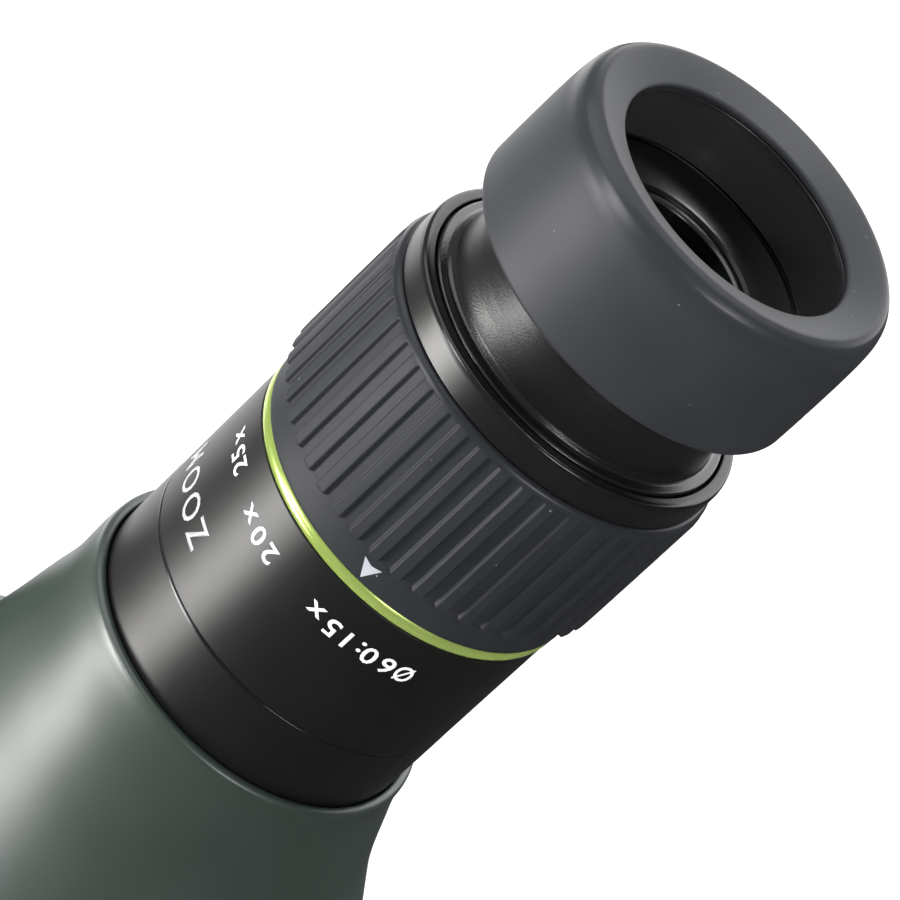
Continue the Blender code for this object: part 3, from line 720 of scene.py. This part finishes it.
CAP = 2.6                       # height of the figures
SIZE = CAP / 0.72
ROWS = (
    ("mark_15", -118.8, -63.15, 1.12, 1.0, [("\u00d8", -135.6), ("6", -129.4), ("0", -123.0), (":", -119.3), ("1", -114.6), ("5", -109.0),
                                         ("x", -102.0)]),
    ("mark_20", -73.6, -63.05, 1.10, 1.0, [("2", -80.6), ("0", -74.1), ("x", -66.9)]),
    ("mark_25", -44.6, -62.1, 1.06, 1.0, [("2", -50.4), ("5", -45.2), ("x", -38.6)]),
    ("mark_30", -2.0, -62.1, 1.06, 1.0, [("3", -7.6), ("0", -2.4), ("x", 4.0)]),
    ("mark_35", 21.5, -62.1, 1.06, 1.0, [("3", 16.0), ("5", 21.2), ("x", 27.6)]),
    ("mark_40", 43.0, -62.1, 1.06, 1.0, [("4", 37.4), ("0", 42.9), ("x", 49.3)]),
    ("mark_45", 63.5, -62.1, 1.06, 1.0, [("4", 58.0), ("5", 63.3), ("x", 69.7)]),
)
for label, phi, a0, wide, tall, glyphs in ROWS:
    wrap_print(label, glyph_row(glyphs, 22.80, phi, SIZE * tall, wide / tall), EYE, 22.80, phi, a0, M_WHITE, "scope_body")
wrap_print("mark_zoom", glyph_row([("Z", -58.5), ("O", -48.0), ("O", -36.5), ("M", -25.0)], 22.84, -42.0, 3.7 / 0.72, 0.92), EYE,
           22.84, -42.0, -71.1, M_SILVER, "scope_body")

arrow = bpy.data.meshes.new("arrow")
w_ = math.radians(3.3) * BAND
arrow.from_pydata([(0, 1.3, 0), (-w_, -1.25, 0), (0, -0.85, 0), (w_, -1.25, 0)], [], [(0, 1, 2), (0, 2, 3)])
wrap_print("index_arrow", arrow, EYE, BAND, -103.7, -55.05, M_GREYP, "zoom_drive", lift=0.02)

# ------------------------------------------------------------------ bent armour
def on_axis(s, side, r):
    L = EYE_L + s
    return (-L * S2 + side * r * S2, L * S2 + side * r * S2)


FAN = [
    (*on_axis(LIP_S, 1, 23.9), *on_axis(LIP_S, -1, 23.9), 23.9, 0.7),
    (*on_axis(-90.9, 1, 24.5), *on_axis(-90.9, -1, 24.5), 24.5, 1.3),
    (*on_axis(-93.2, 1, 24.65), *on_axis(-93.0, -1, 24.85), 24.75, 1.45),
    (*on_axis(-99.0, 1, 24.65), *on_axis(-97.4, -1, 26.4), 25.8, 1.7),
    (*on_axis(-105.4, 1, 25.6), -42.6, 0.2, 26.6, 1.8),
    (2.9, 34.84, -39.9, -12.9, 27.8, 1.8),
    (9.5, 30.5, -33.5, -24.6, 28.9, 1.8),
    (15.5, 30.5, -21.0, -30.4, 29.8, 1.7),
    (22.0, 31.0, -4.0, -32.2, 30.5, 1.6),
    (32.0, 31.0, 16.0, -31.6, 30.9, 1.6),
    (44.0, 31.0, 38.0, -31.0, 31.0, 1.6),
    (57.0, 31.0, 57.0, -31.0, 31.0, 1.6),
]


def catmull(rows, t):
    n = len(rows)
    i = min(int(t), n - 2)
    u = t - i
    p = [rows[max(i - 1, 0)], rows[i], rows[i + 1], rows[min(i + 2, n - 1)]]
    return [0.5 * (2 * b + (c - a) * u + (2 * a - 5 * b + 4 * c - d) * u * u
                   + (3 * b - a - 3 * c + d) * u ** 3) for a, b, c, d in zip(*p)]


def fan_ring(t, inset, sides, along=0.0):
    ty, tz, by, bz, w, skin = catmull(FAN, t)
    top, low = Vector((0, ty, tz)), Vector((0, by, bz))
    u = (top - low).normalized()
    top, low, w = top - u * inset, low + u * inset, w - inset
    mid, half = (top + low) / 2 + D * along, (top - low) / 2
    return [BEND + (mid + half * math.cos(2 * math.pi * k / sides)
                    + Vector((w * math.sin(2 * math.pi * k / sides), 0, 0))) * MM for k in range(sides)]


SIDES = 144
loops = []
# the rounded lip: circles about the eyepiece axis, from the inner edge over the end face to the outer skin
for r, a in [(23.15, -90.3), (23.15, -89.9), (23.2, -89.79), (23.3, -89.72), (23.45, -89.69)] + arc(23.65, -90.5, 0.82, 90, 0, 9):
    loops.append([EYE.at(r, 2 * math.pi * k / SIDES, a) for k in range(SIDES)])
ts = [1.05, 1.2, 1.4, 1.6, 1.8] + [1.9 + 0.1 * k for k in range(0, 40)] + [6 + 0.25 * k for k in range(0, 20)] + [10.97, 11.0]
for t in ts:
    loops.append(fan_ring(t, 0.0, SIDES))
skin_in = lambda t: catmull(FAN, t)[5]
loops.append(fan_ring(11.0, 0.5, SIDES))
for t in [11.0, 10.0, 9.0, 8.0, 7.0, 6.0, 5.0, 4.0, 3.0, 2.0, 1.0]:
    loops.append(fan_ring(t, skin_in(t) - (0.02 if t == 11.0 else 0.0), SIDES))
verts = [p for loop in loops for p in loop]
faces = []
for i in range(len(loops)):
    j = (i + 1) % len(loops)
    for k in range(SIDES):
        m = (k + 1) % SIDES
        faces.append((i * SIDES + k, i * SIDES + m, j * SIDES + m, j * SIDES + k))
armour = piece("rear_armour_skin", verts, faces, M_ARMOUR, "scope_body", ["rear_armour"], sharp=50)

# ------------------------------------------------------------------ barrel, objective and sunshade
flare = flow([(32.6, 85.7), (32.8, 90.0), (33.0, 95.0), (33.3, 99.8), (33.85, 104.8), (34.8, 110.8), (35.95, 117.0), (37.0, 122.0),
              (37.8, 126.0), (38.12, 129.0), (38.2, 131.0)], 5)
arm = [(32.0, 84.9, 0.4)] + [(r, a, 0) for r, a in flare] + [(38.2, 132.0, 0.7), (35.7, 132.0, 0.2), (35.7, 127.2, 0.2), (32.0, 127.2, 0.2), (30.7, 98.0, 0), (29.75, 88.2, 0),
       (29.75, 84.9, 0.2)]
turned("barrel_armour_skin", BARREL, rounded(arm, steps=6), M_ARMOUR, "scope_body", 160, ["barrel_armour"])
tube = [(29.3, 57.4, 0.2), (29.3, 88.0, 0), (30.2, 98.0, 0), (31.6, 127.0, 0.1), (29.8, 127.0, 0), (28.6, 110.0, 0), (24.8, 84.0, 0),
        (24.8, 46.0, 0.1), (26.3, 46.0, 0.1), (26.3, 57.4, 0.1)]
turned("barrel_tube", BARREL, rounded(tube), M_ANOD, "scope_body", 128, ["main_barrel"])
obj = [(35.3, 127.6, 0.1), (35.3, 200.0, 0.3), (33.3, 200.0, 0.3), (33.3, 130.4, 0.1), (30.2, 130.4, 0.1), (30.2, 127.6, 0.1)]
turned("objective_barrel", BARREL, rounded(obj), M_ANOD, "scope_body", 128, ["objective_tube"])
ret = [(33.0, 198.4, 0.1), (33.0, 201.8, 0.3), (31.5, 201.8, 0.3), (31.1, 200.6, 0), (30.9, 200.6, 0), (30.6, 199.2, 0), (30.35, 199.2, 0),
       (30.05, 197.9, 0), (29.85, 197.9, 0), (29.6, 196.6, 0.1), (30.6, 196.6, 0.1), (30.6, 198.4, 0.1)]
turned("objective_ring", BARREL, rounded(ret, support=0), M_ANOD, "scope_body", 160, ["objective_retainer"])
turned("objective_glass", BARREL, [(r, a) for r, a in lens_profile(30.4, 194.7, 3.4, 184.2, 3.6, 14)], M_OBJ, "scope_body", 128,
       ["crown_lens"], sharp=50)


def shade_radius(r, phi, a):
    return r


sh = [(38.3, 133.5, 0.5), (38.3, 190.0, 0), (38.3, 191.0, 0.2), (37.9, 191.4, 0.2), (37.9, 192.2, 0.2), (38.3, 192.6, 0.2),
      (38.3, 195.0, 0.2), (37.9, 195.4, 0.2), (37.9, 196.2, 0.2), (38.3, 196.6, 0.2), (38.3, 199.0, 0.2), (37.9, 199.4, 0.2),
      (37.9, 200.2, 0.2), (38.3, 200.6, 0.2), (38.3, 207.7, 0.2), (37.3, 207.7, 0.1), (37.3, 215.0, 0.1), (36.0, 215.0, 0.1),
      (36.0, 133.5, 0.3)]
turned("sunshade_sleeve", BARREL, rounded(sh, steps=4), M_PAINT, "sunshade", 160, ["sunshade_tube"])


def bumper_radius(r, phi, a):
    if r < 38.5:
        return r
    k = 0.5 + 0.5 * math.cos(phi * 90)
    fade = smooth(a, 208.6, 209.6) * (1 - smooth(a, 214.4, 215.4))
    return r - 0.35 * fade * smooth(k, 0.35, 0.9)


bu = [(38.9, 208.1, 0.4), (38.9, 209.0, 0), (38.9, 210.0, 0), (38.9, 214.0, 0), (38.9, 215.0, 0), (38.85, 217.0, 1.2), (36.2, 217.0, 0.7),
      (36.2, 215.3, 0.1), (37.6, 215.3, 0.1), (37.6, 208.1, 0.1)]
turned("sunshade_ring", BARREL, rounded(bu, steps=6), M_GRIP, "sunshade", 720, ["sunshade_bumper"],
       radius=bumper_radius, sharp=60)


# ------------------------------------------------------------------ focus knobs
def knob_ribs(count, depth, r_min, a0, a1):
    def f(r, phi, a):
        if r < r_min:
            return r
        k = abs((phi * count / (2 * math.pi)) % 1.0 - 0.5) * 2
        fade = smooth(a, a0, a0 + 0.6) * (1 - smooth(a, a1 - 0.6, a1))
        return r - depth * fade * smooth(k, 0.45, 0.62)
    return f


ck = [(11.5, 31.0, 1.0), (11.5, 33.0, 0), (11.5, 33.4, 0), (11.5, 33.8, 0), (11.5, 49.0, 0), (11.5, 49.4, 0), (11.5, 49.8, 0),
      (11.5, 51.6, 1.0), (9.4, 51.6, 0.3), (9.2, 51.2, 0.1), (4.6, 51.2, 0.1), (4.4, 51.6, 0.2), (2.35, 51.6, 0.1), (2.35, 31.0, 0.1)]
turned("coarse_focus_knob", KNOB, rounded(ck, steps=6), M_GRIP, "coarse_drive", 480, ["coarse_knob"],
       radius=knob_ribs(30, 0.55, 11.3, 33.0, 50.0), sharp=60)
fkn = [(9.4, 18.5, 0.9), (9.4, 20.2, 0), (9.4, 20.6, 0), (9.4, 21.0, 0), (9.4, 28.2, 0), (9.4, 28.6, 0), (9.4, 29.0, 0), (9.4, 30.4, 0.9),
       (2.35, 30.4, 0.1), (2.35, 18.5, 0.1)]
turned("fine_focus_knob", KNOB, rounded(fkn, steps=6), M_GRIP, "fine_drive", 480, ["fine_knob"],
       radius=knob_ribs(30, 0.45, 9.2, 20.0, 29.0), sharp=60)

# ------------------------------------------------------------------ clamp knob
def lobes(r, phi, a):
    if r < 7.0 or a < 46.0:
        return r
    fade = smooth(a, 46.2, 47.4)
    return r - 0.9 * fade * (0.5 - 0.5 * math.cos(phi * 12)) ** 1.5 * smooth(r, 7.2, 8.6)


kn = [(3.4, 41.9, 0.1), (5.0, 41.9, 0.3), (5.0, 44.2, 0.4), (7.6, 44.6, 0.5), (9.0, 47.0, 0.8), (9.0, 49.0, 0), (9.0, 52.0, 0), (9.0, 56.8, 1.0),
      (7.6, 58.0, 0.6), (6.2, 58.0, 0.1), (6.0, 57.6, 0.1)]
profile = rounded([(0.0, 57.6)] + list(reversed(kn)) + [(3.4, 44.4), (0.0, 44.4)], steps=5, closed=False)
turned("clamp_hand_knob", CLAMP, profile, M_GRIP, "clamp_grip", 240, ["clamp_knob"], radius=lobes, sharp=60)


# ------------------------------------------------------------------ focus saddle and shaft
def saddle_outline():
    pts = [(9.0, 22.0), (9.0, KNOB_Z)]
    pts += [(9.0 * math.cos(math.pi * k / 28), KNOB_Z + 9.0 * math.sin(math.pi * k / 28)) for k in range(1, 28)]
    pts += [(-9.0, KNOB_Z), (-9.0, 22.0)]
    return pts


carved("focus_bridge", prism_mesh(saddle_outline(), 14.0, 56.0, lambda u, v, w: (u, w, v), edge=1.1), [],
       [turned_mesh(KNOB, [(0, 18.0)] + [(12.1 - 0.0, 18.0), (12.1, 52.0)] + [(0, 52.0)], 128),
        turned_mesh(BARREL, [(0, -60), (31.3, -60), (31.3, 80), (0, 80)], 224),
        turned_mesh(KNOB, [(0, 0.0), (2.4, 0.0), (2.4, 80.0), (0, 80.0)], 64)],
       M_PAINT, "scope_body", ["focus_saddle"])
shaft = [(0, 14.7), (0.45, 14.7), (0.5, 14.75), (1.6, 14.75), (2.0, 15.15), (2.0, 54.85), (1.6, 55.25), (0.5, 55.25), (0.45, 55.3), (0, 55.3)]
turned("focus_axle", KNOB, shaft, M_STEEL, "scope_body", 64, ["focus_shaft"])

# ------------------------------------------------------------------ tripod collar
band = rounded([(36.5, 59.2, 0.9), (36.5, 64.0, 0), (36.5, 65.2, 0.15), (36.15, 65.5, 0.15), (36.15, 66.1, 0.15), (36.5, 66.4, 0.15),
                (36.5, 73.6, 0.15), (36.15, 73.9, 0.15), (36.15, 74.5, 0.15), (36.5, 74.8, 0.15), (36.5, 80.8, 0.9), (30.5, 80.8, 0.3),
                (30.5, 59.2, 0.3)], steps=4)
boss = rounded([(0.0, 31.0), (8.6, 31.0), (8.3, 35.6), (7.6, 37.2, 1.2), (7.6, 41.0, 0.5), (0.0, 41.0)], steps=5, closed=False)
pad = prism_mesh(round_rect(-12, 60.2, 12, 79.8, 1.6), -39.2, -32.0, lambda u, v, w: (u, v, w), edge=0.35)
carved("collar_band", ring_mesh(BARREL, band, 224), [turned_mesh(CLAMP, boss, 96), pad],
       [turned_mesh(BARREL, [(0, 55), (30.5, 55), (30.5, 85), (0, 85)], 224),
        turned_mesh(CLAMP, [(0, 25.0), (4.4, 25.0), (4.4, 50.0), (0, 50.0)], 64)]
       + [turned_mesh(down(0, y), [(0, -33.6), (3.5, -33.6), (3.5, -25.0), (0, -25.0)], 48) for y in (65.0, 75.0)]
       + [turned_mesh(down(0, y), [(0, -45.0), (2.2, -45.0), (2.2, -25.0), (0, -25.0)], 32) for y in (65.0, 75.0)],
       M_ANOD, "tripod_collar", ["collar_ring"])
turned("collar_bush", BARREL, rounded([(29.6, 59.6, 0.12), (30.2, 59.6, 0.12), (30.2, 80.4, 0.12), (29.6, 80.4, 0.12)]), M_NYLON,
       "tripod_collar", 192, ["collar_liner"],
       radius=lambda r, phi, a: r)

# ------------------------------------------------------------------ foot
plate = prism_mesh(round_rect(-17, 58.6, 17, 102.5, 3.2), -58.0, -48.5, lambda u, v, w: (u, v, w), edge=1.3, steps=6)
post = prism_mesh(round_rect(-12, 60.2, 12, 79.8, 1.6), -50.0, -39.5, lambda u, v, w: (u, v, w), edge=0.35)
carved("foot_plate", plate, [post],
       [turned_mesh(down(0, y), [(0, -48.0), (2.2, -48.0), (2.2, -30.0), (0, -30.0)], 32) for y in (65.0, 75.0)]
       + [turned_mesh(down(0, 78.0), [(0, -60.0), (5.9, -60.0), (5.3, -57.4), (5.3, -49.5), (0, -49.5)], 64),
          turned_mesh(down(0, 91.0), [(0, -60.0), (2.7, -60.0), (2.3, -57.6), (2.3, -53.5), (0, -53.5)], 48)],
       M_ANOD, "tripod_collar", ["foot_block"])


def thread(r, phi, a):
    """A quarter-inch thread, 1.27 mm a turn, inside the insert."""
    if r > 3.3:
        return r
    k = abs(((a / 1.27 - phi / (2 * math.pi)) % 1.0) - 0.5) * 2
    fade = smooth(a, -57.75, -57.2) * (1 - smooth(a, -50.5, -50.1))
    return r - 0.52 * fade * smooth(k, 0.1, 0.9)


steps_ = 92
bore = [(3.17, -50.0 - 7.9 * k / steps_) for k in range(steps_ + 1)]
insert = [(5.0, -57.85), (5.0, -50.1), (4.8, -49.9), (3.3, -49.9)] + bore + [(3.4, -58.0), (4.85, -58.0)]
turned("tripod_thread", down(0, 78.0), insert, M_BRASS, "tripod_collar", 96, ["thread_insert"], radius=thread, sharp=40)


def hexed(size, low=0.0):
    def f(r, phi, a):
        if r > size + 0.01:
            return r
        k = (math.degrees(phi) % 60.0) - 30.0
        return r * math.cos(math.radians(30)) / math.cos(math.radians(k)) if r > low else r
    return f


for label, y in zip(("rear", "front"), (65.0, 75.0)):
    turned("foot_bolt_" + label, down(0, y), rounded([(0, -32.0), (1.45, -32.0, 0), (1.45, -30.65, 0.05), (3.1, -30.6, 0.2),
                                                    (3.2, -33.3, 0.1), (1.9, -33.3, 0.1), (1.9, -47.3, 0.3), (0, -47.5)], steps=3,
                                                   closed=False), M_STEEL, "tripod_collar", 60, ["foot_screw_" + label],
           radius=hexed(1.46))
turned("purge_plug", down(0, 40.0), rounded([(0, -29.75), (2.2, -29.75, 0.1), (3.1, -29.95, 0.1), (3.1, -30.85, 0.25), (1.4, -30.9, 0.05),
                                          (1.35, -30.1, 0), (0, -30.1)], steps=4, closed=False), M_STEEL, "scope_body", 96,
       ["purge_screw"], radius=hexed(1.36))
turned("clamp_stem", CLAMP, rounded([(0, 44.0), (2.8, 44.0, 0.1), (3.0, 43.7, 0.1), (3.0, 33.0, 0.2), (4.1, 32.6, 0.2), (4.1, 29.8, 0.15),
                                   (0, 29.75)], steps=4, closed=False), M_STEEL, "clamp_slide", 96, ["clamp_spindle"])

# ------------------------------------------------------------------ inside the objective
turned("flint_element", BARREL, [(30.4 * k / 14, 181.0 + 3.3 * (k / 14) ** 2) for k in range(15)]
       + [(30.4 * k / 14, 176.5 - 1.5 * (k / 14) ** 2) for k in range(14, -1, -1)], M_OBJ, "scope_body", 128, ["flint_lens"],
       sharp=50)
turned("objective_mount", BARREL, rounded([(32.9, 198.0, 0.1), (32.9, 172.0, 0.1), (28.0, 172.0, 0.1), (28.0, 174.0, 0.1),
                                         (31.0, 174.0, 0.1), (31.0, 198.0, 0.1)]), M_MATT, "scope_body", 160, ["objective_cell"])
turned("baffle", BARREL, rounded([(32.9, 150.0, 0.1), (32.9, 148.0, 0.1), (25.6, 148.0, 0.3), (25.5, 149.0, 0.1), (26.4, 150.0, 0.2)]),
       M_MATT, "scope_body", 160, ["front_baffle"])
turned("seal_ring", BARREL, [(30.25 + 0.44 * math.cos(2 * math.pi * k / 16), 195.6 + 0.58 * math.sin(2 * math.pi * k / 16))
                           for k in range(16)], M_MATT, "scope_body", 160, ["objective_o_ring"])

# ------------------------------------------------------------------ floor, light, camera
def area(name, where, size, power, toward, colour=(1, 1, 1), size_y=None):
    li = bpy.data.lights.new(name, "AREA")
    li.shape = "RECTANGLE"
    li.size = size
    li.size_y = size_y or size
    li.energy = power
    li.color = colour
    ob = bpy.data.objects.new(name, li)
    ob.location = where
    ob.rotation_mode = "QUATERNION"
    ob.rotation_quaternion = (Vector(toward) - Vector(where)).to_track_quat("-Z", "Y")
    ob.visible_camera = False
    bpy.context.scene.collection.objects.link(ob)
    return ob


target = EYE.at(0, 0, -60)


def lit(name, way, dist, size, size_y, radiance, colour=(1, 1, 1), grid=None, aim=None):
    """A soft box seen from the eyepiece in the direction way, with its brightness given directly. grid is the half
    angle of a honeycomb in front of it, in degrees."""
    d = Vector(way).normalized()
    aim = aim or target
    power = radiance * math.pi * size * size_y
    if grid:
        h = math.radians(grid)
        power *= (math.tan(h) - h) / math.tan(h)
    ob = area(name, aim + d * dist, size, power, aim, colour, size_y)
    if grid:
        ob.data.spread = 2.0 * h
    return ob


lit("key", (-0.602, 0.797, 0.07), 1.0, 0.35, 0.62, 29.0, (1.0, 0.985, 0.965))
lit("left_back", (0.616, 0.788, 0.12), 1.1, 0.90, 0.80, 1.75)
lit("near", (-0.565, -0.811, -0.125), 0.5, 0.24, 0.055, 30.0, aim=OPEN)
lit("edge", (0.40, -0.66, 0.64), 1.0, 0.34, 0.34, 85.0, grid=9.0, aim=EYE.at(0, 0, -10))
lit("flare", (-0.80, 0.36, 0.47), 1.0, 0.36, 0.36, 16.0)
lit("back", (0.936, -0.165, 0.31), 1.1, 1.25, 1.05, 2.8)
lit("top", (-0.1, -0.05, 1.0), 1.2, 1.3, 1.3, 2.4)

me = bpy.data.meshes.new("floor")
me.from_pydata([(-6, -6, -0.0005), (6, -6, -0.0005), (6, 6, -0.0005), (-6, 6, -0.0005)], [], [(0, 1, 2, 3)])
floor = bpy.data.objects.new("floor", me)
bpy.context.scene.collection.objects.link(floor)
fm, fnt, fb = shader("pale_floor")
fb.inputs["Base Color"].default_value = (0.86, 0.86, 0.86, 1)
fb.inputs["Roughness"].default_value = 0.9
fb.inputs["Specular IOR Level"].default_value = 0.1
me.materials.append(fm)
floor.visible_glossy = False                 # as if black cards lay round the object, out of the picture

world = bpy.data.worlds.new("studio")
bpy.context.scene.world = world
world.use_nodes = True
bg = world.node_tree.nodes["Background"]
wt = world.node_tree
sep = wt.nodes.new("ShaderNodeSeparateXYZ")
wt.links.new(wt.nodes.new("ShaderNodeTexCoord").outputs["Generated"], sep.inputs[0])
wt.links.new(span(wt, sep.outputs["Z"], -0.12, 0.25, 0.08, 0.38), bg.inputs["Strength"])
bg.inputs["Color"].default_value = (1, 1, 1, 1)

cam_data = bpy.data.cameras.new("camera")
cam_data.lens = 172.23
cam_data.sensor_width = 36.0
cam_data.clip_start, cam_data.clip_end = 0.01, 60.0
cam = bpy.data.objects.new("camera", cam_data)
cx = Vector((0.49520575, -0.86877573, 0.0))
cy = Vector((0.24314461, 0.13859343, 0.96003779))
cz = Vector((-0.83405753, -0.47541623, 0.2798704))
pos = OPEN + Vector((-423.591, -204.534, 107.744)) * MM
cam.matrix_world = Matrix(((cx.x, cy.x, cz.x, pos.x), (cx.y, cy.y, cz.y, pos.y), (cx.z, cy.z, cz.z, pos.z), (0, 0, 0, 1)))
bpy.context.scene.collection.objects.link(cam)
bpy.context.scene.camera = cam
bpy.context.scene.view_settings.view_transform = "Standard"
bpy.context.scene.view_settings.look = "None"
